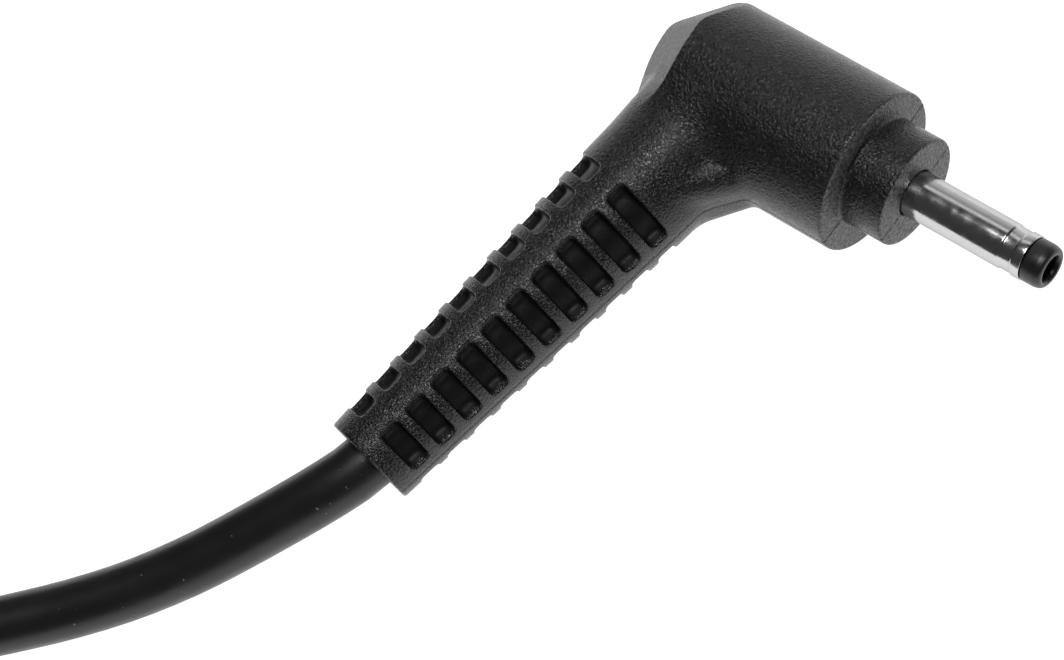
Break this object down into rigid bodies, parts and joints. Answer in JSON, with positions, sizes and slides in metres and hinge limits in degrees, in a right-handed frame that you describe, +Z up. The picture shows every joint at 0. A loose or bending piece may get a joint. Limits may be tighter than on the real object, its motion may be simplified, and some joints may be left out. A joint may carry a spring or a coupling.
{
  "type": "laptop power adapter",
  "caption": "Mains power adapter brick with a figure-8 inlet, a thin coiled output lead and a right-angle barrel plug with a slotted strain relief.",
  "frame": {"origin": "centre of the brick's underside, on the surface that the adapter lies on", "axes": "+X along the brick's length towards the mains inlet, +Y across the brick away from the plug, +Z up out of the surface"},
  "size_m": [0.1413, 0.1039, 0.028],
  "materials": {
    "casing": "fine moulded grain, satin black",
    "inlet": "plain moulded black",
    "overmould": "black moulded skin with a fine wrinkled grain",
    "cord": "smooth satin black jacket",
    "tie": "black hook-and-loop strap",
    "pre_mould": "natural white moulding",
    "insulator": "glossy black",
    "nickel": "bright nickel plating",
    "brass": "bare spring brass",
    "tin": "solder",
    "board": "green solder mask",
    "fish_paper": "insulating paper",
    "aluminium": "plain sheet",
    "ferrite": "dark grey ferrite",
    "tape": "yellow polyester tape",
    "epoxy": "black component body",
    "can_sleeve": "dark shrink sleeve",
    "film_yellow": "yellow film capacitor",
    "disc_blue": "blue coated disc",
    "lens": "clear light pipe",
    "wire_red": "red insulation",
    "wire_black": "black insulation"
  },
  "bodies": {
    "root": {"upper_shell": "casing", "lower_shell": "casing", "inlet_housing": "inlet", "inlet_pin_1": "nickel", "inlet_pin_2": "nickel", "circuit_board": "board", "insulation_sheet": "fish_paper", "fuse": "epoxy", "x_capacitor": "film_yellow", "common_mode_choke": "ferrite", "bridge_rectifier": "epoxy", "bulk_capacitor": "can_sleeve", "primary_heat_sink": "aluminium", "switching_transistor": "epoxy", "transformer_core": "ferrite", "transformer_winding": "tape", "y_capacitor": "disc_blue", "optocoupler": "epoxy", "output_rectifier": "epoxy", "secondary_heat_sink": "aluminium", "output_capacitor_1": "can_sleeve", "output_capacitor_2": "can_sleeve", "status_led": "lens", "light_pipe": "lens", "brick_strain_relief": "overmould", "output_wire_positive": "wire_red", "output_wire_negative": "wire_black", "brick_lead": "cord", "cord_coil": "cord", "cord_tie": "tie", "plug_lead": "cord", "plug_overmould": "overmould", "plug_inner_mould": "pre_mould", "barrel_sleeve": "nickel", "tip_insulator": "insulator", "centre_contact": "brass", "insulating_washer": "pre_mould", "wire_positive": "wire_red", "wire_negative": "wire_black", "solder_joint_centre": "tin", "solder_joint_sleeve": "tin"}
  },
  "joints": []
}
